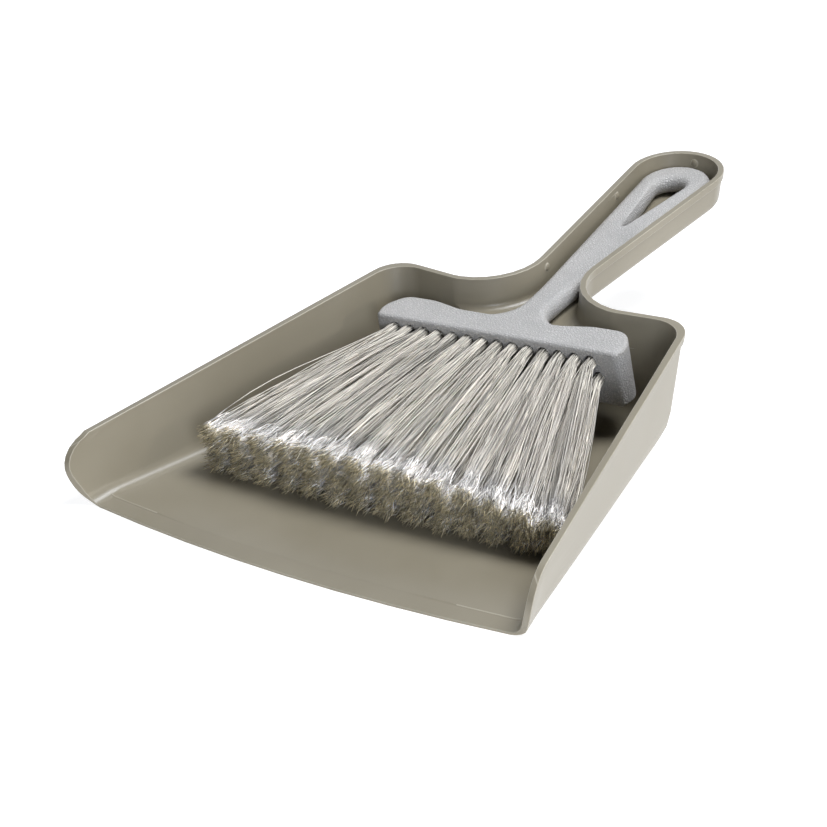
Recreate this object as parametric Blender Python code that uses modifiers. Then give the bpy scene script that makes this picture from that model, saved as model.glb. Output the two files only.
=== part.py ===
"""Dust pan and brush set: a moulded pan with a hollow handle, and a brush that nests in it.

The pan stands on its flat underside at z = 0, mouth towards -Y and handle towards +Y, in metres.
The brush is modelled flat in its own frame and placed by one empty, because it lies tilted:
its grip in the pan's handle and its bristle tips near the pan's floor.
"""

import math

import bmesh
import bpy
from mathutils import Vector

MM = 0.001

# Pan: plan of the rim, seen from above
PAN_HALF_FRONT = 110.9 * MM      # half width over the rim at the front corners
PAN_HALF_BACK = 76.2 * MM        # half width where the sides would meet the back
PAN_BACK = 184.9 * MM            # back of the tray at its corners
BACK_SWEEP = 6.9 * MM            # how far the back edge comes forward at the middle
CORNER_RADIUS = 14.6 * MM
NECK_HALF = 11.9 * MM            # half width of the handle where it would meet the back
NECK_Y = 179.1 * MM
NECK_RADIUS = 27.5 * MM          # sweep from the back edge into the handle
HANDLE_TAPER = 0.083             # half width gained per length of handle
HANDLE_END = 337.0 * MM

# Pan: heights and walls
RIM_HEIGHT = 28.6 * MM           # rim above the table at the mouth
RIM_SLOPE = 0.119                # the rim rises towards the handle
FLOOR = 2.3 * MM
WALL = 2.1 * MM
BEAD = 0.7 * MM                  # how far the rim bead stands out from the wall
BEAD_DEPTH = 3.6 * MM
BEAD_STEP = 0.3 * MM
WALL_DRAFT = 0.07                # lean of the back wall and of the hollow handle's walls
WALL_SLANT = 0.98                # height gained along a unit of wall
FOOT_HALF_FRONT = 104.4 * MM     # half width over the walls at the table, at the mouth
FOOT_HALF_BACK = 70.4 * MM
SIDE_FILLET = 6.0 * MM           # outside, between floor and side walls
BACK_FILLET = 14.0 * MM          # outside, between floor and back wall
FILLET_GAIN = 0.6 * MM           # the inner fillets reach this much further
CORNER_SHRINK = 0.4              # loss of corner radius at the foot, per inset
CHANNEL_DEPTH = 16.4 * MM        # outside depth of the hollow handle at its neck, below the rim
CHANNEL_DEEPENING = 0.4          # gain in depth per metre towards the end
CHANNEL_FILLET = 5.0 * MM
MOUTH_HALF = 44.0 * MM           # half width of the handle's solid where it meets the back wall
HANDLE_BEAD_LIFT = 0.15 * MM     # the handle's bead ends this much higher than the tray's
SOLID_START = 1.0 * MM           # the handle's solid starts this far inside the back wall
HOLLOW_START = 150.0 * MM        # and its hollow here, inside the tray
SOLID_GAP = 0.25 * MM            # how far short of the back wall each outline's corner stops
HOLLOW_GAP = 0.12 * MM
HANDLE_STRAIGHT = 260.0 * MM     # a place on the handle's straight side

# Pan: the open mouth
LIP_BOW = 7.9 * MM               # how far the front edge bows out at the middle
LIP_HEIGHTS = (1.0 * MM, 1.85 * MM)   # top of the lip at its edge and at the step behind it
MOUTH_REACH = 42.0 * MM          # length of wall over which the mouth's curves fade out
WALL_END_REACH = 6.0 * MM        # how far the rounded wall ends reach past the front corners
WALL_END_TOP = 9.0 * MM          # and how far behind the corners the rim starts
WALL_END_HEIGHT = 16.0 * MM      # height of their foremost point
WALL_END_CURVE = 1.6             # power of the curve below that point
WALL_END_MARGIN = 0.3 * MM       # the curve closes this much above the rim
WALL_END_BLEND = 8.0 * MM        # width over which the front edge turns into the wall end
WALL_END_FLARE = 1.7 * MM

# Snap nubs inside the handle: low domes on its walls
SIDE_NUBS = (212.0 * MM, 288.0 * MM)
NUB_RADIUS = 2.0 * MM
NUB_HEIGHT = 0.9 * MM
NUB_DROP = 4.6 * MM              # centre below the rim

# Brush, in its own frame: X across, Y towards the grip's end, Z up, origin on the top
# front edge of the head in line with the grip
BRUSH_PLACE = (2.4 * MM, 150.0 * MM, 42.0 * MM)
BRUSH_TILT = tuple(math.radians(a) for a in (6.8, -2.6, 0.9))
HEAD_SHIFT = -5.2 * MM           # the head sits a little off the grip's line
HEAD_CORNERS = [(0.0, 0.0), (59.8, 0.0), (62.0, 9.0), (55.5, 20.2), (40.0, 20.2), (25.0, 16.4),
                (0.0, 16.4)]     # half plan of the head, in mm
HEAD_RADII = [2.5, 12.0, 8.0, 20.0, 20.0]
HEAD_HEIGHT = 27.0 * MM
HEAD_EDGE = 1.8 * MM
HEAD_EDGE_STEPS = 3
FACE_LEAN = 2.0 * MM             # the tufted face is set back this much at the bottom
END_FLARE = 1.2 * MM             # and the ends stand out this much there
GRIP_THICKNESS = 9.2 * MM
GRIP_EDGE = 4.0 * MM
GRIP_EDGE_STEPS = 4
GRIP_SINK = 0.05 * MM            # the grip lies this much below the top of the head
OUTLINE_STEPS = 6                # along each rounded corner of head, grip and hole
GRIP_CORNERS = [(0.0, 8.0), (26.0, 8.0), (26.0, 16.9), (6.9, 16.9), (7.6, 48.0)]   # half plan
GRIP_RADII = [4.3, 4.3, 14.0, 120.0]
LOOP_CENTRE = 165.4 * MM
LOOP_RADIUS = 17.2 * MM
HOLE_TIP = 112.5 * MM            # pointed end of the hole, towards the head
HOLE_TIP_SIZE = (0.9 * MM, 0.5 * MM)   # half width of the blunt tip, and its length
HOLE_TIP_RADIUS = 0.3 * MM
HOLE_CENTRE = 160.2 * MM
HOLE_RADIUS = 7.2 * MM
HOLE_EDGE = 4.0 * MM             # rounding of the hole's rim, fading out at its tip
HOLE_EDGE_FADE = 26.0 * MM
HOLE_EDGE_LEAST = 0.15           # share of the rounding that is left at the tip
HOLE_SPARE = 1.0 * MM            # the cutter stands out of the grip by this

# Tufts
TUFT_ROWS = 3
TUFTS_PER_ROW = 14
TUFT_PITCH = 7.54 * MM
ROW_PITCH = 7.6 * MM
FIRST_ROW_DROP = 5.6 * MM        # first row below the top of the head
ROW_STAGGER = 0.19               # in tuft pitches, to either side in turn
TUFT_RADIUS = 2.45 * MM
HOLE_CLEARANCE = 0.32 * MM
HOLE_DEPTH = 9.0 * MM
HOLE_OVERRUN = 3.0 * MM          # the hole cutters stand out of the face by this
TUFT_LENGTH = 108.5 * MM
TUFT_SIDES = 8
FAN_ANGLE = math.radians(16.4)   # of the outermost tufts, to either side of the fan's middle
FAN_LEAN = math.radians(3.25)    # the whole fan has set a little to one side
BEND_AT = 0.4                    # a tuft opens out from this share of its length
BEND_HALF_WIDTH = 3.0 * MM
BEND_HALF_HEIGHT = 2.6 * MM
TIP_HALF_WIDTH = 5.4 * MM
TIP_HALF_HEIGHT = 3.2 * MM
TIP_HEIGHTS = (22.6 * MM, 14.4 * MM, 6.2 * MM)   # tuft ends above the pan's underside, by row
END_PRESS = (0.18, 0.45)         # share by which the outermost ends, left and right, lie flatter

# Resolution. The side stops are stations along a side as shares of its length; the step
# behind the lip lies between the second and the third
SIDE_STOPS = (0.0, 0.046, 0.050, 0.09, 0.15, 0.22, 0.32, 0.48, 0.66, 0.83)
ARC_STEPS = 8
BACK_STEPS = 5
RIM_ROWS = (0.5 * MM, 1.5 * MM)  # rows close under the rim, which the wall ends curve round
WALL_STEPS = 7
SPARE = 2.0 * MM
FILLET_STEPS = 4
ACROSS = (0.75, 0.5, 0.25, 0.0)  # floor points between the wall's foot and the middle
MIDDLE_DRAW = 0.1                # how far those in the middle are drawn towards the mouth
MIDDLE_SPREAD = 1.3 * MM         # and set apart behind the back corners


def clear_scene():
    for obj in list(bpy.data.objects):
        bpy.data.objects.remove(obj, do_unlink=True)


def make_collection(name):
    collection = bpy.data.collections.new(name)
    bpy.context.scene.collection.children.link(collection)
    return collection


def make_material(name, colour, roughness):
    material = bpy.data.materials.new(name)
    material.use_nodes = True
    shader = material.node_tree.nodes["Principled BSDF"]
    shader.inputs["Base Color"].default_value = (*colour, 1.0)
    shader.inputs["Roughness"].default_value = roughness
    material.diffuse_color = (*colour, 1.0)
    return material


def add_object(name, shape, collection, material=None, parent=None):
    """Turns a bmesh into an object; without a material it is a cutter or a tool shape."""
    bmesh.ops.recalc_face_normals(shape, faces=shape.faces)
    mesh = bpy.data.meshes.new(name)
    shape.to_mesh(mesh)
    shape.free()
    mesh.shade_smooth()
    mesh.set_sharp_from_angle(angle=math.radians(35))
    obj = bpy.data.objects.new(name, mesh)
    collection.objects.link(obj)
    obj.parent = parent
    if material:
        mesh.materials.append(material)
    else:
        obj.hide_render = True
        obj.display_type = 'WIRE'
    return obj


def add_boolean(obj, other, operation):
    modifier = obj.modifiers.new(other.name, 'BOOLEAN')
    modifier.operation = operation
    modifier.object = other
    modifier.solver = 'EXACT'


def add_mirror(obj):
    modifier = obj.modifiers.new("other half", 'MIRROR')
    modifier.use_clip = True
    modifier.merge_threshold = 0.00001


def blend(a, b, t):
    return a + (b - a) * t


def arc(centre, spoke, sweep, steps):
    points = []
    for k in range(steps + 1):
        c, s = math.cos(sweep * k / steps), math.sin(sweep * k / steps)
        points.append(centre + Vector((spoke.x * c - spoke.y * s, spoke.x * s + spoke.y * c)))
    return points


def fillet_path(corners, radii, steps):
    """Points along an open path whose inner corners are rounded, or kept for a radius of 0."""
    corners = [Vector(corner) for corner in corners]
    path = [corners[0]]
    for before, corner, after, radius in zip(corners, corners[1:], corners[2:], radii):
        if radius == 0:
            path.append(corner)
            continue
        back = (before - corner).normalized()
        ahead = (after - corner).normalized()
        half = back.angle(ahead) / 2
        centre = corner + (back + ahead).normalized() * (radius / math.sin(half))
        start = corner + back * (radius / math.tan(half))
        turn = 1 if back.x * ahead.y - back.y * ahead.x < 0 else -1
        path += arc(centre, start - centre, turn * (math.pi - 2 * half), steps)
    return path + [corners[-1]]


def round_end(corners, radii, centre_y, radius, steps):
    """A half outline that runs tangent into a round end on the middle line."""
    x, y = corners[-1]
    reach = Vector((x, y - centre_y))
    bearing = math.atan2(reach.y, reach.x) + math.acos(radius / reach.length)
    spoke = Vector((math.cos(bearing), math.sin(bearing))) * radius
    tangent = Vector((spoke.x, spoke.y + centre_y))
    path = fillet_path(corners + [tuple(tangent)], radii, steps)
    end = arc(Vector((0.0, centre_y)), spoke, math.pi / 2 - bearing, steps + 2)
    end[-1].x = 0.0
    return path[:-1] + end


def bridge(shape, rings, closed):
    """Quads between neighbouring rings of points; returns their vertices."""
    rings = [[shape.verts.new(point) for point in ring] for ring in rings]
    for ring, following in zip(rings, rings[1:]):
        for k in range(len(ring) if closed else len(ring) - 1):
            n = (k + 1) % len(ring)
            shape.faces.new((ring[k], ring[n], following[n], following[k]))
    return rings


def full_loop(half, middle=0.0):
    """Closes a half outline by its mirror image and moves it to its middle line."""
    other = [Vector((-p.x, p.y)) for p in reversed(half) if abs(p.x) > 1e-7]
    return [Vector((p.x + middle, p.y)) for p in half + other]


def grow(loop, distance):
    """Offsets a closed counter-clockwise loop outwards."""
    grown = []
    for before, point, after in zip(loop[-1:] + loop[:-1], loop, loop[1:] + loop[:1]):
        a = (point - before).normalized()
        b = (after - point).normalized()
        side = Vector((a.y + b.y, -a.x - b.x)).normalized()
        grown.append(point + side * distance / max(side.dot(Vector((a.y, -a.x))), 0.5))
    return grown


def rim_height(y):
    return RIM_HEIGHT + RIM_SLOPE * y


# Pan tray: one line of points down the wall and across the floor at each station round
# the tray, outside and inside, bridged into a shell that is open at the middle plane.
# Tray and handle are made SPARE too high and trimmed together to the rim's plane

def tray_outline(half_front, half_back, back, radius):
    """Right half of the tray in plan, from the mouth round to the middle of the back."""
    path = fillet_path([(half_front, 0.0), (half_back, back), (0.0, back - BACK_SWEEP)],
                       [radius], ARC_STEPS)
    side = [blend(path[0], path[1], stop) for stop in SIDE_STOPS]
    back_edge = [blend(path[-2], path[-1], (k + 1) / BACK_STEPS) for k in range(BACK_STEPS)]
    return side + path[1:-1] + back_edge


def rim_outline(inset):
    return tray_outline(PAN_HALF_FRONT - inset, PAN_HALF_BACK - inset, PAN_BACK - inset,
                        CORNER_RADIUS)


def foot_outline(inset, back_inset):
    lean = WALL_DRAFT * rim_height(PAN_BACK)
    return tray_outline(FOOT_HALF_FRONT - inset, FOOT_HALF_BACK - inset,
                        PAN_BACK - BEAD - lean - back_inset,
                        CORNER_RADIUS - CORNER_SHRINK * inset)


def wall_end(z):
    """How far the rounded wall end lies behind the front corner at a height."""
    if z > WALL_END_HEIGHT:
        top = RIM_HEIGHT + WALL_END_MARGIN
        rise = min((z - WALL_END_HEIGHT) / (top - WALL_END_HEIGHT), 1.0)
        return blend(WALL_END_TOP, -WALL_END_REACH, math.sqrt(1 - rise * rise))
    drop = 1 - max(z, 0.0) / WALL_END_HEIGHT
    return WALL_END_REACH * (drop ** WALL_END_CURVE - 1)


def shape_mouth(point, near):
    """Moves a point near the mouth onto the rounded wall end and the bowed front edge."""
    across = min(abs(point.x) / FOOT_HALF_FRONT, 1.0)
    inwards = (FOOT_HALF_FRONT - SIDE_FILLET - abs(point.x)) / WALL_END_BLEND
    on_wall = min(max(-inwards, 0.0), 1.0)
    on_wall *= on_wall * (3 - 2 * on_wall)
    shift = blend(-LIP_BOW * (1 - across ** 2), wall_end(point.z), on_wall)
    flare = on_wall * WALL_END_FLARE * math.sin(math.pi * min(point.z / RIM_HEIGHT, 1.0))
    slide = on_wall * shift * near * (PAN_HALF_BACK - PAN_HALF_FRONT) / PAN_BACK
    return Vector((point.x + slide + flare * near ** 2, point.y + shift * near, point.z))


def wall_and_floor(rim, foot, tangent, floor, middle_y):
    """From below the rim bead down the wall, round the fillet and across to the middle."""
    top = Vector((rim.x, rim.y, rim_height(rim.y)))
    foot = Vector((foot.x, foot.y, floor))
    tangent = Vector((tangent.x, tangent.y, floor))
    fillet = (tangent - foot).length / (top - foot).length
    first = (BEAD_DEPTH + BEAD_STEP) / (top.z - floor)
    points = [blend(top, foot, blend(first, 1 - fillet, k / WALL_STEPS))
              for k in range(WALL_STEPS)]
    start = blend(top, foot, 1 - fillet)
    for k in range(FILLET_STEPS + 1):
        t = k / FILLET_STEPS
        points.append(blend(blend(start, foot, t), blend(foot, tangent, t), t))
    middle = Vector((0.0, middle_y, floor))
    return points + [blend(middle, tangent, t) for t in ACROSS]


def tray_sections():
    rim_out, rim_wall, rim_in = (rim_outline(i) for i in (0.0, BEAD, BEAD + WALL))
    foot_out, foot_in = foot_outline(0.0, 0.0), foot_outline(WALL, WALL)
    tangent_out = foot_outline(SIDE_FILLET, BACK_FILLET)
    tangent_in = foot_outline(SIDE_FILLET + FILLET_GAIN, BACK_FILLET + FILLET_GAIN)
    back_start = len(SIDE_STOPS) + ARC_STEPS
    for i in range(len(rim_out)):
        y = tangent_out[i].y
        middle_y = y * (1 - MIDDLE_DRAW * y / PAN_BACK) + MIDDLE_SPREAD * max(0, i - back_start)
        near = max(0.0, 1 - rim_out[i].y / MOUTH_REACH)
        at_mouth = i < len(LIP_HEIGHTS)
        wall_top = rim_out[i] if at_mouth else rim_wall[i]
        outside = wall_and_floor(wall_top, foot_out[i], tangent_out[i], 0.0, middle_y)
        inside = wall_and_floor(rim_in[i], foot_in[i], tangent_in[i], FLOOR, middle_y)
        lean = (outside[1] - outside[0]).normalized() / WALL_SLANT
        top_in = Vector((rim_in[i].x, rim_in[i].y, rim_height(rim_in[i].y)))
        top_out = Vector((rim_out[i].x, rim_out[i].y, rim_height(rim_out[i].y)))
        skin_in = [top_in + lean * row for row in (-SPARE, *RIM_ROWS)]
        bead = [top_out + lean * row for row in (-SPARE, *RIM_ROWS, BEAD_DEPTH)]
        points = inside[::-1] + skin_in[::-1] + bead + outside
        points = [shape_mouth(p, near) for p in points]
        if at_mouth:
            for p in points[:len(inside)]:
                share = max(0.0, 1 - (p.z - FLOOR) / SIDE_FILLET)
                p.z -= share * (FLOOR - LIP_HEIGHTS[i])
        yield points


def make_tray(collection, material):
    shape = bmesh.new()
    rings = bridge(shape, tray_sections(), closed=False)
    mouth = rings[0]
    for k in range(len(mouth) // 2):
        corners = (mouth[-k - 1], mouth[-k - 2], mouth[k + 1], mouth[k])
        shape.faces.new(dict.fromkeys(corners))
    tray = add_object("dust_pan", shape, collection, material)
    add_mirror(tray)
    return tray


# Pan handle: a solid and the hollow cut into it, from the same outline at each depth

def handle_outline(inset, front_y, start_gap):
    """Half plan of the pan's handle with the sweep that runs out of the tray's back edge."""
    rise = BACK_SWEEP / PAN_HALF_BACK
    back_y = PAN_BACK - BACK_SWEEP - inset
    slant = math.hypot(1.0, HANDLE_TAPER)
    neck = NECK_HALF - inset * slant
    corner_y = (back_y + rise * (neck - HANDLE_TAPER * NECK_Y)) / (1 - rise * HANDLE_TAPER)
    corner_x = neck + HANDLE_TAPER * (corner_y - NECK_Y)
    end = HANDLE_END - inset
    centre = (end * slant - neck + HANDLE_TAPER * NECK_Y) / (slant + HANDLE_TAPER)
    mouth_y = back_y + rise * MOUTH_HALF
    corners = [(0.0, front_y(back_y)), (MOUTH_HALF, front_y(mouth_y)),
               (MOUTH_HALF, mouth_y - start_gap), (corner_x, corner_y - start_gap),
               (neck + HANDLE_TAPER * (HANDLE_STRAIGHT - NECK_Y), HANDLE_STRAIGHT)]
    radii = [0, 0, NECK_RADIUS + inset, 0]
    return round_end(corners, radii, centre, end - centre, ARC_STEPS)


def handle_shape(name, levels, front_y, start_gap, collection):
    """Closed solid from (inset, depth below the rim) pairs, top to bottom."""
    shape = bmesh.new()
    rings = []
    for inset, depth in levels:
        outline = handle_outline(inset, front_y, start_gap)
        rings.append([Vector((p.x, p.y, rim_height(p.y) - depth * deepening(p.y)))
                      for p in outline])
    rings = bridge(shape, rings, closed=False)
    shape.faces.new(rings[0])
    shape.faces.new(reversed(rings[-1]))
    solid = add_object(name, shape, collection)
    add_mirror(solid)
    return solid


def deepening(y):
    return 1 + CHANNEL_DEEPENING * max(y - NECK_Y, 0.0)


def fillet_levels(inset, depth, radius):
    turns = [k / FILLET_STEPS * math.pi / 2 for k in range(FILLET_STEPS + 1)]
    return [(inset + radius * (1 - math.cos(t)), depth - radius * (1 - math.sin(t))) for t in turns]


def add_handle(tray, cutters):
    bead = BEAD_DEPTH - HANDLE_BEAD_LIFT
    below = bead + BEAD_STEP
    outside = [(-WALL_DRAFT * 1.5 * SPARE, -1.5 * SPARE), (WALL_DRAFT * bead, bead),
               (BEAD + WALL_DRAFT * below, below)]
    outside += fillet_levels(BEAD + WALL_DRAFT * CHANNEL_DEPTH, CHANNEL_DEPTH, CHANNEL_FILLET)
    floor = CHANNEL_DEPTH - WALL
    skin = BEAD + WALL
    inside = [(skin - WALL_DRAFT * 2 * SPARE, -2 * SPARE)]
    inside += fillet_levels(skin + WALL_DRAFT * floor, floor, CHANNEL_FILLET - WALL)
    solid = handle_shape("handle_solid", outside, lambda y: y - SOLID_START, SOLID_GAP, cutters)
    hollow = handle_shape("handle_hollow", inside, lambda y: HOLLOW_START, HOLLOW_GAP, cutters)
    add_boolean(tray, solid, 'UNION')
    add_boolean(tray, hollow, 'DIFFERENCE')


def trim_rim(tray, cutters):
    """Cuts everything above the rim's plane."""
    shape = bmesh.new()
    half_width, front, back = 130.0 * MM, -30.0 * MM, 360.0 * MM
    thickness = 10.0 * MM
    rings = [[Vector((x, y, rim_height(y) + above)) for x, y in
              ((-half_width, front), (half_width, front), (half_width, back), (-half_width, back))]
             for above in (0.0, thickness)]
    rings = bridge(shape, rings, closed=True)
    shape.faces.new(reversed(rings[0]))
    shape.faces.new(rings[1])
    add_boolean(tray, add_object("above_rim", shape, cutters), 'DIFFERENCE')


def add_nubs(tray, cutters):
    skin = BEAD + WALL + WALL_DRAFT * NUB_DROP
    places = [(0.0, HANDLE_END - skin)]
    for y in SIDE_NUBS:
        x = NECK_HALF + HANDLE_TAPER * (y - NECK_Y) - skin
        places += [(x, y), (-x, y)]
    for number, (x, y) in enumerate(places, 1):
        shape = bmesh.new()
        bmesh.ops.create_uvsphere(shape, u_segments=12, v_segments=8, radius=NUB_RADIUS)
        flat = NUB_HEIGHT / NUB_RADIUS
        bmesh.ops.scale(shape, vec=(flat if x else 1.0, 1.0 if x else flat, 1.0), verts=shape.verts)
        nub = add_object(f"nub_{number}", shape, cutters)
        nub.location = (x, y, rim_height(y) - NUB_DROP)
        add_boolean(tray, nub, 'UNION')


# Brush head and grip: rings of one outline, offset at each height

def edge_levels(height, radius, steps):
    """Offset and height pairs down a slab with rounded edges, its top at z = 0."""
    turns = [k / steps * math.pi / 2 for k in range(steps + 1)]
    top = [(-radius * (1 - math.sin(t)), -radius * (1 - math.cos(t))) for t in turns]
    return top + [(offset, -height - z) for offset, z in reversed(top)]


def slab(loop, levels, deform=None, fade=None):
    """Solid from one outline, offset and placed at each level."""
    shape = bmesh.new()
    rings = []
    for offset, z in levels:
        grown = grow(loop, offset)
        if fade:
            grown = [blend(p, g, fade(p.y)) for p, g in zip(loop, grown)]
        ring = [Vector((p.x, p.y, z)) for p in grown]
        rings.append([deform(p) for p in ring] if deform else ring)
    rings = bridge(shape, rings, closed=True)
    shape.faces.new(reversed(rings[0]))
    shape.faces.new(rings[-1])
    return shape


def lean_head(point):
    """Sets the tufted face back and the ends out towards the bottom of the head."""
    down = -point.z / HEAD_HEIGHT
    depth = HEAD_CORNERS[3][1] * MM
    out = (point.x - HEAD_SHIFT) / (HEAD_CORNERS[2][0] * MM)
    return Vector((point.x + END_FLARE * down * out,
                   point.y + FACE_LEAN * down * (1 - point.y / depth), point.z))


def make_head(collection, material, parent):
    corners = [(x * MM, y * MM) for x, y in HEAD_CORNERS]
    half = fillet_path(corners, [r * MM for r in HEAD_RADII], OUTLINE_STEPS)
    half[-1].x = 0.0
    levels = edge_levels(HEAD_HEIGHT, HEAD_EDGE, HEAD_EDGE_STEPS)
    shape = slab(full_loop(half, HEAD_SHIFT), levels, lean_head)
    return add_object("brush_handle", shape, collection, material, parent)


def add_grip(head, cutters, parent):
    corners = [(x * MM, y * MM) for x, y in GRIP_CORNERS]
    half = round_end(corners, [r * MM for r in GRIP_RADII], LOOP_CENTRE, LOOP_RADIUS,
                     OUTLINE_STEPS)
    shape = slab(full_loop(half), edge_levels(GRIP_THICKNESS, GRIP_EDGE, GRIP_EDGE_STEPS))
    grip = add_object("grip", shape, cutters, parent=parent)
    grip.location.z = -GRIP_SINK
    add_boolean(head, grip, 'UNION')


def cut_loop_hole(head, cutters, parent):
    """A teardrop hole whose edges are rounded like the grip's own."""
    start = [(0.0, HOLE_TIP), (HOLE_TIP_SIZE[0], HOLE_TIP + HOLE_TIP_SIZE[1])]
    half = round_end(start, [HOLE_TIP_RADIUS], HOLE_CENTRE, HOLE_RADIUS, OUTLINE_STEPS)
    edge = edge_levels(GRIP_THICKNESS, HOLE_EDGE, GRIP_EDGE_STEPS)
    levels = [(HOLE_EDGE, HOLE_SPARE)] + [(-offset, z) for offset, z in edge]
    levels.append((HOLE_EDGE, -GRIP_THICKNESS - HOLE_SPARE))
    shape = slab(full_loop(half), levels,
                 fade=lambda y: min(HOLE_EDGE_LEAST + (y - HOLE_TIP) / HOLE_EDGE_FADE, 1.0))
    hole = add_object("loop_hole", shape, cutters, parent=parent)
    hole.location.z = -GRIP_SINK
    add_boolean(head, hole, 'DIFFERENCE')


# Tufts: a round root in its hole, fanning out to a flattened end

def tuft_places():
    """Mouth of each tuft's hole, its turn in the fan, how far its end is pressed flat, and
    its row and column."""
    half_count = (TUFTS_PER_ROW - 1) / 2
    for row in range(TUFT_ROWS):
        stagger = ROW_STAGGER if row % 2 else -ROW_STAGGER
        for column in range(TUFTS_PER_ROW):
            across = column - half_count
            mouth = Vector((HEAD_SHIFT + (across + stagger) * TUFT_PITCH, 0.0,
                            -FIRST_ROW_DROP - row * ROW_PITCH))
            share = across / half_count
            press = END_PRESS[share > 0] * share ** 2
            yield mouth, FAN_LEAN + FAN_ANGLE * share, press, row, column


def disc(centre, half_width, half_height, turn=0.0):
    points = []
    for k in range(TUFT_SIDES):
        angle = 2 * math.pi * (k + 0.5) / TUFT_SIDES
        side = half_width * math.cos(angle)
        points.append(centre + Vector((side * math.cos(turn), side * math.sin(turn),
                                       half_height * math.sin(angle))))
    return points


def tip_centre(mouth, turn, press, row):
    """End of a tuft, at its row's height over the pan's underside. The ends are trimmed
    between a straight line and an arc."""
    forward = TUFT_LENGTH * (1 + math.cos(turn)) / 2
    tip_x = mouth.x + TUFT_LENGTH * math.sin(turn)
    pitch, roll = BRUSH_TILT[0], BRUSH_TILT[1]
    ground = BRUSH_PLACE[2] - forward * math.tan(pitch) - tip_x * math.tan(roll)
    return Vector((tip_x, -forward, blend(TIP_HEIGHTS[row], TIP_HEIGHTS[-1], press) - ground))


def cut_tuft_holes(head, cutters, parent):
    shape = bmesh.new()
    radius = TUFT_RADIUS + HOLE_CLEARANCE
    for mouth, *_ in tuft_places():
        ends = [disc(mouth + Vector((0.0, y, 0.0)), radius, radius)
                for y in (HOLE_DEPTH, -HOLE_OVERRUN)]
        rings = bridge(shape, ends, closed=True)
        shape.faces.new(reversed(rings[0]))
        shape.faces.new(rings[1])
    holes = add_object("tuft_holes", shape, cutters, parent=parent)
    add_boolean(head, holes, 'DIFFERENCE')


def make_tufts(collection, material, parent):
    for mouth, turn, press, row, column in tuft_places():
        root = mouth + Vector((0.0, HOLE_DEPTH - HOLE_CLEARANCE, 0.0))
        tip = tip_centre(mouth, turn, press, row)
        rings = [disc(root, TUFT_RADIUS, TUFT_RADIUS), disc(mouth, TUFT_RADIUS, TUFT_RADIUS),
                 disc(blend(mouth, tip, BEND_AT), BEND_HALF_WIDTH, BEND_HALF_HEIGHT, turn),
                 disc(tip, TIP_HALF_WIDTH, TIP_HALF_HEIGHT * (1 - press), turn)]
        shape = bmesh.new()
        rings = bridge(shape, rings, closed=True)
        shape.faces.new(reversed(rings[0]))
        shape.faces.new(rings[-1])
        add_object(f"tuft_{row + 1}_{column + 1:02d}", shape, collection, material, parent)


def main():
    clear_scene()
    parts = make_collection("dust_pan_and_brush_set")
    cutters = make_collection("cutters")
    pan_plastic = make_material("pan_plastic", (0.29, 0.27, 0.235), 0.35)
    brush_plastic = make_material("brush_plastic", (0.44, 0.43, 0.41), 0.45)
    bristle = make_material("bristle", (0.50, 0.47, 0.42), 0.6)

    tray = make_tray(parts, pan_plastic)
    add_handle(tray, cutters)
    trim_rim(tray, cutters)
    add_nubs(tray, cutters)

    brush = bpy.data.objects.new("brush_place", None)
    parts.objects.link(brush)
    brush.location = BRUSH_PLACE
    brush.rotation_euler = BRUSH_TILT
    head = make_head(parts, brush_plastic, brush)
    add_grip(head, cutters, brush)
    cut_loop_hole(head, cutters, brush)
    cut_tuft_holes(head, cutters, brush)
    make_tufts(parts, bristle, brush)


main()
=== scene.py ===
# Dust pan and hand brush: a moulded pan with a hollow handle, and a tufted brush lying in it.
import math

import bmesh
import bpy
import numpy as np
from mathutils import Matrix, Vector


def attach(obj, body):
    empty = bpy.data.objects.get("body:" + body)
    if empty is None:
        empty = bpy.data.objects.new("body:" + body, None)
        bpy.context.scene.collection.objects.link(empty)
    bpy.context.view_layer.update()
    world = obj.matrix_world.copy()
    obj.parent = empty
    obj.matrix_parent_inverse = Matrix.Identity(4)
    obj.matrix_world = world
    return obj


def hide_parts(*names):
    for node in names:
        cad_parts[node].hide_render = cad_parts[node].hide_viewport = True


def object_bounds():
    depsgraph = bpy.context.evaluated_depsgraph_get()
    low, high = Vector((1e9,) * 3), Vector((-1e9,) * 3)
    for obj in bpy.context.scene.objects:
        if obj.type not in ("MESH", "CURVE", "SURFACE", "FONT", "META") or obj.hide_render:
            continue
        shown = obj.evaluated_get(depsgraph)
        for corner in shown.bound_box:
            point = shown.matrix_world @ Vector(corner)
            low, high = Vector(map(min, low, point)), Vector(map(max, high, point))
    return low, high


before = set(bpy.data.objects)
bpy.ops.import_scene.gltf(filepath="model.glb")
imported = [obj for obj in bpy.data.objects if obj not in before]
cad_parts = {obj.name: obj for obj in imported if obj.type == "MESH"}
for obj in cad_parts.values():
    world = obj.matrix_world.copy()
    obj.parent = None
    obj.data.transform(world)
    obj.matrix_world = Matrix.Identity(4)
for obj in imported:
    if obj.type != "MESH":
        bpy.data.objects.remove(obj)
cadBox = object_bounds()
print("frame loaded,", len(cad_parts), "nodes")


# helpers that every piece uses

plasticIor = 1.49         # polypropylene
weldDistance = 0.00012    # packed corners closer than this are one corner
flatAngle = 0.5           # degrees, under which two faces are one flat face
flatWeight = 50           # how strongly a big face keeps its own shading


def linear(hexColour):
    # sRGB hex to the linear colour that a socket takes
    parts = [int(hexColour[i:i + 2], 16) / 255 for i in (1, 3, 5)]
    return (*[p / 12.92 if p <= 0.04045 else ((p + 0.055) / 1.055) ** 2.4 for p in parts], 1.0)


def perMetre(millimetres):
    # texture scale whose features are about this many millimetres across
    return 1000.0 / millimetres


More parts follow.
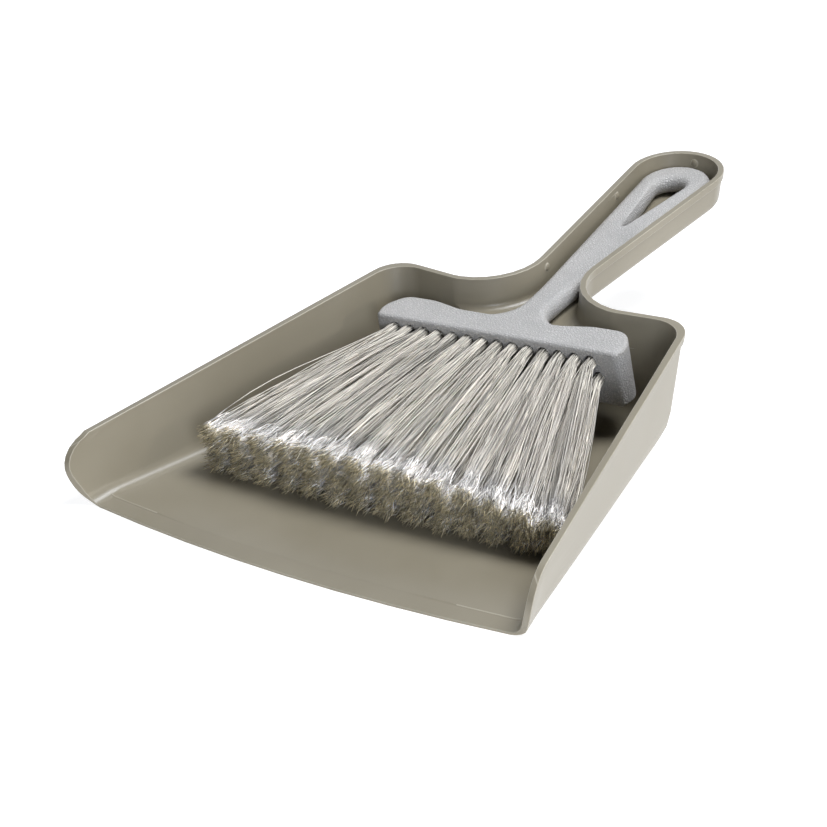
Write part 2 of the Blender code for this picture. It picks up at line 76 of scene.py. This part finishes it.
def addNode(tree, kind, settings=None, links=None):
    # a setting is a property of the node, or else one of its sockets by name or number
    node = tree.nodes.new(kind)
    for name, value in (settings or {}).items():
        if isinstance(name, str) and hasattr(node, name):
            setattr(node, name, value)
        else:
            node.inputs[name].default_value = value
    for name, source in (links or {}).items():
        tree.links.new(source, node.inputs[name])
    return node


def newMaterial(name):
    material = bpy.data.materials.new(name)
    material.use_nodes = True
    material.node_tree.nodes.clear()
    return material, material.node_tree


def weldedCopy(nodeName):
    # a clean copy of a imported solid: its corners welded and its flat faces whole again
    bm = bmesh.new()
    bm.from_mesh(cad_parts[nodeName].data)
    bmesh.ops.remove_doubles(bm, verts=bm.verts, dist=weldDistance)
    bmesh.ops.dissolve_degenerate(bm, edges=bm.edges, dist=weldDistance)
    bmesh.ops.dissolve_limit(bm, angle_limit=math.radians(flatAngle), verts=bm.verts,
                             edges=bm.edges)
    return bm


def softenEdges(bm, look):
    # rounds each sharp edge and marks the rounded strip, where handling polishes the plastic
    limit = math.radians(look["sharpAngle"])
    sharp = [e for e in bm.edges if e.is_manifold and e.calc_face_angle(0.0) > limit]
    made = bmesh.ops.bevel(bm, geom=sharp, offset=look["edgeRadius"], offset_type="OFFSET",
                           segments=look["edgeSegments"], profile=0.5, affect="EDGES",
                           clamp_overlap=False)
    rubbed = bm.loops.layers.float.new("rubbed")
    for face in made["faces"]:
        for corner in face.loops:
            corner[rubbed] = 1.0


def addPiece(mesh, material, body, nodeName):
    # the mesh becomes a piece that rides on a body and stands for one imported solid
    piece = bpy.data.objects.new(mesh.name, mesh)
    bpy.context.scene.collection.objects.link(piece)
    mesh.materials.append(material)
    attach(piece, body)
    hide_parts(nodeName)
    return piece


def finishPiece(bm, pieceName, material, body, nodeName):
    for face in bm.faces:
        face.smooth = True
    mesh = bpy.data.meshes.new(pieceName)
    bm.to_mesh(mesh)
    bm.free()
    return addPiece(mesh, material, body, nodeName)


def weightNormals(piece):
    # the big faces keep their own direction and the rounded strips blend between them
    shade = piece.modifiers.new("even shading", "WEIGHTED_NORMAL")
    shade.mode = "FACE_AREA_WITH_ANGLE"
    shade.weight = flatWeight
    shade.keep_sharp = False


# the pan: polypropylene, moulded against a satin tool

pan = {
    "colour": "#908876",
    "colourDeep": "#7a725f",
    "rubbedColour": "#b0a896",
    "smoothest": 0.29,        # roughness, which drifts with the cooling too
    "roughest": 0.41,
    "cloudSize": 55.0,        # mm, slow change of tone where the melt cooled unevenly
    "grainSize": 0.9,         # mm, spark-eroded tool skin, really about 0.1 mm and drawn coarser
    "grainHeight": 0.000012,
    "sinkSize": 32.0,         # mm, faint sink waves that bend a reflection
    "sinkHeight": 0.00012,
    "edgeRadius": 0.00028,
    "edgeSegments": 2,
    "sharpAngle": 33.0,       # degrees, above which an edge is rounded
}


def satinPolypropylene():
    # smooth but not polished: soft-edged highlights, a faint orange skin, worn pale edges
    material, tree = newMaterial("satin_moulded_polypropylene")
    place = addNode(tree, "ShaderNodeTexCoord").outputs["Object"]
    cloud = addNode(tree, "ShaderNodeTexNoise", {"Scale": perMetre(pan["cloudSize"]),
                    "Detail": 3.0}, {"Vector": place})
    grain = addNode(tree, "ShaderNodeTexNoise", {"Scale": perMetre(pan["grainSize"]),
                    "Detail": 2.0}, {"Vector": place})
    sink = addNode(tree, "ShaderNodeTexNoise", {"Scale": perMetre(pan["sinkSize"]),
                   "Detail": 1.0}, {"Vector": place})
    tone = addNode(tree, "ShaderNodeValToRGB", {}, {"Fac": cloud.outputs["Fac"]})
    tone.color_ramp.elements[0].color = linear(pan["colourDeep"])
    tone.color_ramp.elements[1].color = linear(pan["colour"])
    rubbed = addNode(tree, "ShaderNodeAttribute", {"attribute_name": "rubbed"})
    wear = addNode(tree, "ShaderNodeMath", {"operation": "MULTIPLY", "use_clamp": True},
                   {0: rubbed.outputs["Fac"], 1: cloud.outputs["Fac"]})
    colour = addNode(tree, "ShaderNodeMix", {"data_type": "RGBA"},
                     {0: wear.outputs[0], 6: tone.outputs["Color"]})
    colour.inputs[7].default_value = linear(pan["rubbedColour"])
    gloss = addNode(tree, "ShaderNodeMapRange",
                    {"To Min": pan["smoothest"], "To Max": pan["roughest"]},
                    {"Value": cloud.outputs["Fac"]})
    skin = addNode(tree, "ShaderNodeBump", {"Strength": 1.0, "Distance": pan["grainHeight"]},
                   {"Height": grain.outputs["Fac"]})
    waves = addNode(tree, "ShaderNodeBump", {"Strength": 1.0, "Distance": pan["sinkHeight"]},
                    {"Height": sink.outputs["Fac"], "Normal": skin.outputs["Normal"]})
    shader = addNode(tree, "ShaderNodeBsdfPrincipled", {"IOR": plasticIor},
                     {"Base Color": colour.outputs[2], "Roughness": gloss.outputs["Result"],
                      "Normal": waves.outputs["Normal"]})
    addNode(tree, "ShaderNodeOutputMaterial", {}, {"Surface": shader.outputs["BSDF"]})
    return material


def makePan():
    bm = weldedCopy("dust_pan")
    softenEdges(bm, pan)
    piece = finishPiece(bm, "pan_moulding", satinPolypropylene(), "pan", "dust_pan")
    weightNormals(piece)
    print("pan moulded,", len(piece.data.polygons), "faces")


# the brush body: polypropylene, moulded against a leather-grained tool

handle = {
    "colour": "#cecac4",
    "colourDeep": "#a8a5a0",
    "crackShade": 0.72,       # painted shade: the grain's hollows are darkened to this
    "crackReach": 0.35,       # how far a hollow slopes up, as a share of a pebble
    "smoothest": 0.36,        # roughness on top of a pebble
    "roughest": 0.54,         # and down in a hollow
    "cloudSize": 30.0,        # mm, slow change of tone
    "grainSize": 1.15,        # mm, one pebble of the leather grain
    "grainHeight": 0.00022,
    "edgeRadius": 0.00025,
    "edgeSegments": 2,
    "sharpAngle": 38.0,
}


def grainedPolypropylene():
    # a pebbled skin that breaks each highlight into small sparks, with painted shade down in its
    # hollows
    material, tree = newMaterial("leather_grained_polypropylene")
    place = addNode(tree, "ShaderNodeTexCoord").outputs["Object"]
    cloud = addNode(tree, "ShaderNodeTexNoise", {"Scale": perMetre(handle["cloudSize"]),
                    "Detail": 4.0}, {"Vector": place})
    pebble = addNode(tree, "ShaderNodeTexVoronoi", {"feature": "DISTANCE_TO_EDGE",
                     "Scale": perMetre(handle["grainSize"])}, {"Vector": place})
    crack = addNode(tree, "ShaderNodeMapRange", {"From Max": handle["crackReach"]},
                    {"Value": pebble.outputs["Distance"]})
    tone = addNode(tree, "ShaderNodeValToRGB", {}, {"Fac": cloud.outputs["Fac"]})
    tone.color_ramp.elements[0].color = linear(handle["colourDeep"])
    tone.color_ramp.elements[1].color = linear(handle["colour"])
    gloss = addNode(tree, "ShaderNodeMapRange",
                    {"To Min": handle["roughest"], "To Max": handle["smoothest"]},
                    {"Value": crack.outputs["Result"]})
    # painted shade: the hollows of the grain are darkened
    hollowShade = addNode(tree, "ShaderNodeMapRange", {"To Min": handle["crackShade"]},
                   {"Value": crack.outputs["Result"]})
    colour = addNode(tree, "ShaderNodeHueSaturation", {},
                     {"Color": tone.outputs["Color"], "Value": hollowShade.outputs["Result"]})
    skin = addNode(tree, "ShaderNodeBump", {"Strength": 1.0, "Distance": handle["grainHeight"]},
                   {"Height": crack.outputs["Result"]})
    shader = addNode(tree, "ShaderNodeBsdfPrincipled", {"IOR": plasticIor},
                     {"Base Color": colour.outputs["Color"], "Roughness": gloss.outputs["Result"],
                      "Normal": skin.outputs["Normal"]})
    addNode(tree, "ShaderNodeOutputMaterial", {}, {"Surface": shader.outputs["BSDF"]})
    return material


def makeHandle():
    bm = weldedCopy("brush_handle")
    softenEdges(bm, handle)
    piece = finishPiece(bm, "brush_moulding", grainedPolypropylene(), "brush",
                        "brush_handle")
    weightNormals(piece)
    print("brush body moulded,", len(piece.data.polygons), "faces")


# the bristles: polypropylene monofilament, extruded, its ends split into fine flags

bristles = {
    "seed": 11,
    "perTuft": 100,
    "rootRadius": 0.00245,    # fibre bundle in its 5.5 mm hole
    "holeShare": 0.085,       # share of a fibre's length that stays in the hole
    "fibreRadius": 0.00024,
    "strands": 13,            # fibres cling together in strands with dark gaps between them
    "ownPull": 0.5,           # how much a loose end keeps to its place at the root,
    "strandPull": 0.5,        # leans to its strand,
    "loosePull": 0.22,        # and lies by chance
    "strays": 0.03,           # share of the fibres that bow out on their own
    "strayBow": 3.0,          # and how many times further they do
    "steps": 9,               # points along one fibre
    "spreadAcross": 0.0058,   # how far the loose ends open out, half widths
    "spreadDeep": 0.0042,
    "wander": 0.0014,         # sideways bow of a fibre
    "waveShare": 0.35,        # its double bend, as a share of the bow
    "uneven": 0.0012,         # trimming leaves the ends this uneven
    "flagLength": 0.013,      # split end of a fibre
    "flagShortest": 0.6,      # as shares of that length
    "flagLongest": 1.25,
    "flagsPerFibre": 3,
    "flagRadius": 0.00016,
    "flagSteps": 5,
    "flagSpread": 0.0022,
    "flagOut": 0.6,           # straight and curled parts of that spread
    "flagCurl": 0.35,
    "flagUneven": 0.0009,
    "floorClear": 0.0028,     # the lowest fibres lie on the pan's floor
    "floorLift": 0.93,        # share of a fibre's dip below that which the floor takes up
    "toneMiddle": 0.93,       # lightness from fibre to fibre
    "toneSpread": 0.2,
    "strandToneSpread": 0.14,
    "flagToneSpread": 0.4,
    # along a fibre: the pale band on the split ends is partly their own cloudiness and partly
    # painted light; the darker split and end colours at the very tips are painted shade of the
    # trimmed ends' face
    "rootColour": "#d0cabd",
    "shaftColour": "#dbd4c7",
    "paleLitColour": "#fffaf3",
    "splitShadeColour": "#c0b493",
    "endShadeColour": "#9c8e6d",
    "colourPlaces": ((0.3, "shaftColour"), (0.82, "shaftColour"), (0.90, "paleLitColour"),
                     (0.968, "paleLitColour"), (0.986, "splitShadeColour")),
    "roughness": 0.42,
}


def splitMonofilament():
    # drawn plastic fibre: a thin glint down each shaft; the split ends are paler, partly their
    # own cloudiness and partly painted light, and their very tips carry painted shade
    material, tree = newMaterial("flagged_polypropylene_monofilament")
    along = addNode(tree, "ShaderNodeAttribute", {"attribute_name": "along"})
    shade = addNode(tree, "ShaderNodeAttribute", {"attribute_name": "shade"})
    # ramp along each fibre: painted light on the pale band of the split ends, painted shade at
    # their very tips
    ramp = addNode(tree, "ShaderNodeValToRGB", {}, {"Fac": along.outputs["Fac"]})
    stops = ramp.color_ramp.elements
    stops[0].position, stops[0].color = 0.0, linear(bristles["rootColour"])
    stops[1].position, stops[1].color = 1.0, linear(bristles["endShadeColour"])
    for position, colour in bristles["colourPlaces"]:
        stop = stops.new(position)
        stop.color = linear(bristles[colour])
    tint = addNode(tree, "ShaderNodeHueSaturation", {},
                   {"Color": ramp.outputs["Color"], "Value": shade.outputs["Fac"]})
    shader = addNode(tree, "ShaderNodeBsdfPrincipled",
                     {"IOR": plasticIor, "Roughness": bristles["roughness"]},
                     {"Base Color": tint.outputs["Color"]})
    addNode(tree, "ShaderNodeOutputMaterial", {}, {"Surface": shader.outputs["BSDF"]})
    return material


ringsPerTuft = 4      # rings of corners that a packed tuft has
tubeSides = 3         # a fibre is too thin to show more


def tuftRings(nodeName):
    # a packed tuft's ring centres, from its root to its trimmed end, and its widest direction
    corners = np.array([v.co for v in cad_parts[nodeName].data.vertices])
    corners = np.unique(np.round(corners, 6), axis=0)      # to the nearest micrometre
    rings = np.array_split(corners[np.argsort(-corners[:, 1])], ringsPerTuft)
    end = rings[-1]
    across = end[np.argmax(end[:, 0])] - end[np.argmin(end[:, 0])]
    return np.array([ring.mean(0) for ring in rings]), across / np.linalg.norm(across)


def followRings(rings, share):
    # points on the line through the rings' centres, share being 0 at the root and 1 at the end
    pieces = np.linalg.norm(np.diff(rings, axis=0), axis=1)
    lengths = np.concatenate([[0.0], np.cumsum(pieces)])
    return np.stack([np.interp(share, lengths / lengths[-1], rings[:, k]) for k in range(3)], -1)


def discPlaces(draw, count):
    # places spread evenly over a disc of radius 1
    angle = draw.uniform(0, 2 * math.pi, count)
    reach = np.sqrt(draw.uniform(0, 1, count))
    return reach * np.cos(angle), reach * np.sin(angle)


def tubes(paths, radii, reference):
    # closed three-sided tubes along many paths at once: corner places and triangles
    count, steps, _ = paths.shape
    ahead = np.gradient(paths, axis=1)
    ahead /= np.linalg.norm(ahead, axis=2, keepdims=True)
    side = np.cross(ahead, reference)
    side /= np.linalg.norm(side, axis=2, keepdims=True)
    other = np.cross(ahead, side)
    turns = np.arange(tubeSides) * 2 * math.pi / tubeSides
    ring = np.cos(turns)[:, None] * side[:, :, None] + np.sin(turns)[:, None] * other[:, :, None]
    corners = paths[:, :, None] + radii[:, :, None, None] * ring
    first = np.arange(count)[:, None] * steps * tubeSides
    base = first[:, None] + np.arange(steps - 1)[None, :, None] * tubeSides
    here = base + np.arange(tubeSides)
    beside = base + (np.arange(tubeSides) + 1) % tubeSides
    lower = np.stack([here, here + tubeSides, beside], -1).reshape(-1, 3)
    upper = np.stack([beside, here + tubeSides, beside + tubeSides], -1).reshape(-1, 3)
    starts = first + np.array([[0, 1, 2]])
    ends = first + (steps - 1) * tubeSides + np.array([[0, 2, 1]])
    return corners.reshape(-1, 3), np.concatenate([lower, upper, starts, ends])


def makeTuft(nodeName, draw, material):
    rings, across = tuftRings(nodeName)
    axis = rings[-1] - rings[-2]
    axis /= np.linalg.norm(axis)
    deep = np.cross(axis, across)
    if deep[2] < 0:
        deep = -deep
    length = np.linalg.norm(np.diff(rings, axis=0), axis=1).sum()
    count = bristles["perTuft"]
    flagShares = draw.uniform(bristles["flagShortest"], bristles["flagLongest"], count)
    stop = 1 - bristles["flagLength"] * flagShares / length
    share = np.linspace(0, 1, bristles["steps"])[None, :] * stop[:, None]
    rootX, rootZ = discPlaces(draw, count)
    strand = draw.integers(0, bristles["strands"], count)
    strandX, strandZ = discPlaces(draw, bristles["strands"])
    tipX = bristles["ownPull"] * rootX + bristles["strandPull"] * strandX[strand]
    tipX = tipX + bristles["loosePull"] * draw.uniform(-1, 1, count)
    tipZ = bristles["ownPull"] * rootZ + bristles["strandPull"] * strandZ[strand]
    tipZ = tipZ + bristles["loosePull"] * draw.uniform(-1, 1, count)
    isStray = draw.uniform(0, 1, count) < bristles["strays"]
    stray = np.where(isStray, bristles["strayBow"], 1.0)
    bowX, bowZ = draw.normal(0, 1, (2, count)) * bristles["wander"] * stray
    waveX, waveZ = draw.normal(0, 1, (2, count)) * bristles["wander"] * bristles["waveShare"]
    uneven = draw.normal(0, bristles["uneven"], count)

    def place(share):
        # where each fibre is at its share of the length
        held = bristles["holeShare"]
        opened = np.clip((share - held) / (1 - held), 0, 1)
        x = bristles["rootRadius"] * rootX[:, None] * (1 - opened)
        x = x + bristles["spreadAcross"] * tipX[:, None] * opened
        z = bristles["rootRadius"] * rootZ[:, None] * (1 - opened)
        z = z + bristles["spreadDeep"] * tipZ[:, None] * opened
        bow = np.sin(math.pi * opened)
        wave = np.sin(2 * math.pi * opened)
        x = x + bowX[:, None] * bow + waveX[:, None] * wave
        z = z + bowZ[:, None] * bow + waveZ[:, None] * wave
        points = followRings(rings, share) + axis * (uneven[:, None] * opened)[..., None]
        return points + across * x[..., None] + deep * z[..., None]

    shafts = place(share)
    shaftRadii = np.full(share.shape, bristles["fibreRadius"])
    shaftRadii[:, -1] *= 0.5                   # a shaft narrows where it splits

    flags = bristles["flagsPerFibre"]
    local = np.linspace(0, 1, bristles["flagSteps"])
    flagShare = np.repeat(stop, flags)[:, None] + local * np.repeat(1 - stop, flags)[:, None]
    base = np.stack([place(flagShare[k::flags]) for k in range(flags)], 1)
    base = base.reshape(count * flags, len(local), 3)      # a hair's way if it stayed straight
    hairs = count * flags
    outX, outZ = draw.normal(0, bristles["flagOut"], (2, hairs)) * bristles["flagSpread"]
    curlX, curlZ = draw.normal(0, bristles["flagCurl"], (2, hairs)) * bristles["flagSpread"]
    longer = draw.normal(0, bristles["flagUneven"], hairs)
    opened = local ** 1.4                      # splits open slowly, then faster
    curl = np.sin(local * math.pi * 1.4)       # and bends back a little past the middle
    split = base + across * (outX[:, None] * opened + curlX[:, None] * curl)[..., None]
    split = split + deep * (outZ[:, None] * opened + curlZ[:, None] * curl)[..., None]
    split = split + axis * (longer[:, None] * opened)[..., None]
    splitRadii = np.full((hairs, len(local)), bristles["flagRadius"])
    splitRadii[:, 0] = bristles["fibreRadius"] * 0.6       # both ends of a hair taper
    splitRadii[:, -1] *= 0.6

    for points in (shafts, split):
        low = np.maximum(bristles["floorClear"] - points[..., 2], 0)
        points[..., 2] += low * bristles["floorLift"]
    shaftCorners, shaftFaces = tubes(shafts, shaftRadii, deep)
    splitCorners, splitFaces = tubes(split, splitRadii, deep)
    mesh = bpy.data.meshes.new(nodeName + "_fibres")
    corners = np.concatenate([shaftCorners, splitCorners])
    faces = np.concatenate([shaftFaces, splitFaces + len(shaftCorners)])
    mesh.from_pydata(corners, [], faces)
    mesh.polygons.foreach_set("use_smooth", np.ones(len(mesh.polygons), bool))
    along = np.repeat(np.concatenate([share.ravel(), flagShare.ravel()]), tubeSides)
    strandTone = draw.normal(0, bristles["strandToneSpread"], bristles["strands"])[strand]
    tone = draw.normal(bristles["toneMiddle"], bristles["toneSpread"], count) + strandTone
    tone = np.clip(tone, 0.35, 1.35)           # the clips only keep chance from going too far
    splitTone = np.clip(draw.normal(1.0, bristles["flagToneSpread"], hairs), 0.3, 1.9)
    splitTone = np.repeat(tone, flags) * splitTone
    shade = np.concatenate([np.repeat(tone, bristles["steps"] * tubeSides),
                            np.repeat(splitTone, bristles["flagSteps"] * tubeSides)])
    for name, values in (("along", along), ("shade", shade)):
        attribute = mesh.attributes.new(name, "FLOAT", "POINT")
        attribute.data.foreach_set("value", values.astype(np.float32))
    addPiece(mesh, material, "brush", nodeName)
    return len(mesh.polygons)


def makeBristles():
    draw = np.random.default_rng(bristles["seed"])
    material = splitMonofilament()
    tufts = sorted(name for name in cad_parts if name.startswith("tuft_"))
    total = sum(makeTuft(name, draw, material) for name in tufts)
    print("bristles set,", len(tufts), "tufts,", total, "faces")


# the studio: floor, light and camera

studio = {
    "floorColour": "#b8b7b5",
    "floorRoughness": 0.9,
    "floorGlow": 0.78,        # a lit table under the object
    "floorSize": 6.0,
    "skyBright": 1.1,         # pale backdrop low on one side
    "skyDim": 0.14,           # ceiling and the rest of the room
    "skyFadeUp": (0.35, 0.75),       # heights between which the backdrop fades out
    "skyFadeRound": (-0.2, 0.6),     # and how far round from its middle
    "skyColour": "#eaf1ff",
    "skyFrom": (-0.35, 0.94, 0.0),
    "lights": ("key", "soft", "window"),
    "keyFrom": (0.96, 0.14, 0.26),
    "keyDistance": 1.5,
    "keySize": 0.12,
    "keyPower": 2.4,
    "keyColour": "#fdf6ea",
    "softFrom": (0.30, 0.18, 0.93),
    "softDistance": 1.3,
    "softSize": 0.8,
    "softPower": 23.0,
    "softColour": "#f4f8ff",
    "windowFrom": (0.66, -0.70, 0.27),
    "windowDistance": 1.3,
    "windowSize": 0.5,
    "windowPower": 8.0,
    "windowColour": "#e9f1ff",
}

camera = {
    "azimuth": 34.618,
    "elevation": 25.217,
    "roll": -2.0,
    "offRight": -0.0440,      # the aim lies this far from the middle of the object
    "offUp": -0.0327,
    "distance": 0.9594,       # metres
    "lens": 95.77,            # mm
    "nearest": 0.01,
}


def addAreaLight(name, centre):
    # a round soft light at its distance from the middle of the object, facing it
    light = bpy.data.lights.new(name, "AREA")
    light.color = linear(studio[name + "Colour"])[:3]
    light.shape = "DISK"
    light.size = studio[name + "Size"]
    light.energy = studio[name + "Power"]
    lamp = bpy.data.objects.new(name, light)
    bpy.context.scene.collection.objects.link(lamp)
    way = Vector(studio[name + "From"]).normalized()
    lamp.location = centre + way * studio[name + "Distance"]
    lamp.rotation_euler = way.to_track_quat("Z", "Y").to_euler()


def makeFloor(height):
    # matt card: no highlight, so nothing but the object shows
    material, tree = newMaterial("matt_white_backdrop_paper")
    shader = addNode(tree, "ShaderNodeBsdfPrincipled",
                     {"Base Color": linear(studio["floorColour"]),
                      "Roughness": studio["floorRoughness"],
                      "Emission Color": linear("#ffffff"),
                      "Emission Strength": studio["floorGlow"]})
    addNode(tree, "ShaderNodeOutputMaterial", {}, {"Surface": shader.outputs["BSDF"]})
    half = studio["floorSize"] / 2
    corners = [(-half, -half, 0), (half, -half, 0), (half, half, 0), (-half, half, 0)]
    mesh = bpy.data.meshes.new("floor")
    mesh.from_pydata(corners, [], [(0, 1, 2, 3)])
    mesh.materials.append(material)
    floor = bpy.data.objects.new("floor", mesh)
    floor.location.z = height
    bpy.context.scene.collection.objects.link(floor)


def makeSky():
    # dim all round, with a pale backdrop that the satin plastic mirrors
    world = bpy.data.worlds.new("studio")
    bpy.context.scene.world = world
    world.use_nodes = True
    sky = world.node_tree
    way = addNode(sky, "ShaderNodeTexCoord").outputs["Generated"]
    height = addNode(sky, "ShaderNodeSeparateXYZ", {}, {"Vector": way}).outputs["Z"]
    bottom, top = studio["skyFadeUp"]
    lowDown = addNode(sky, "ShaderNodeMapRange", {"interpolation_type": "SMOOTHSTEP",
                      "From Min": bottom, "From Max": top, "To Min": 1.0, "To Max": 0.0},
                      {"Value": height})
    facing = addNode(sky, "ShaderNodeVectorMath",
                     {"operation": "DOT_PRODUCT", 1: studio["skyFrom"]}, {0: way})
    near, far = studio["skyFadeRound"]
    ahead = addNode(sky, "ShaderNodeMapRange", {"interpolation_type": "SMOOTHSTEP",
                    "From Min": near, "From Max": far}, {"Value": facing.outputs["Value"]})
    glow = addNode(sky, "ShaderNodeMath", {"operation": "MULTIPLY"},
                   {0: lowDown.outputs[0], 1: ahead.outputs[0]})
    strength = addNode(sky, "ShaderNodeMapRange",
                       {"To Min": studio["skyDim"], "To Max": studio["skyBright"]},
                       {"Value": glow.outputs[0]})
    background = sky.nodes["Background"]
    sky.links.new(strength.outputs["Result"], background.inputs["Strength"])
    background.inputs["Color"].default_value = linear(studio["skyColour"])


def makeCamera(centre):
    azimuth, elevation, roll = [math.radians(camera[k]) for k in ("azimuth", "elevation", "roll")]
    back = Vector((math.sin(azimuth) * math.cos(elevation),
                   -math.cos(azimuth) * math.cos(elevation), math.sin(elevation)))
    level = Vector((math.cos(azimuth), math.sin(azimuth), 0))
    upright = back.cross(level)
    right = level * math.cos(roll) + upright * math.sin(roll)
    up = upright * math.cos(roll) - level * math.sin(roll)
    aim = centre + right * camera["offRight"] + up * camera["offUp"]
    data = bpy.data.cameras.new("camera")
    data.lens = camera["lens"]
    data.clip_start = camera["nearest"]
    eye = bpy.data.objects.new("camera", data)
    pose = Matrix((right, up, back)).transposed().to_4x4()
    pose.translation = aim + back * camera["distance"]
    eye.matrix_world = pose
    bpy.context.scene.collection.objects.link(eye)
    bpy.context.scene.camera = eye


def makeStudio():
    low, high = [Vector(corner) for corner in cadBox]
    centre = (low + high) / 2
    makeFloor(low.z)
    makeSky()
    for name in studio["lights"]:
        addAreaLight(name, centre)
    bpy.context.scene.view_settings.view_transform = "Standard"
    makeCamera(centre)
    print("studio lit, camera placed")


makePan()
makeHandle()
makeBristles()
makeStudio()
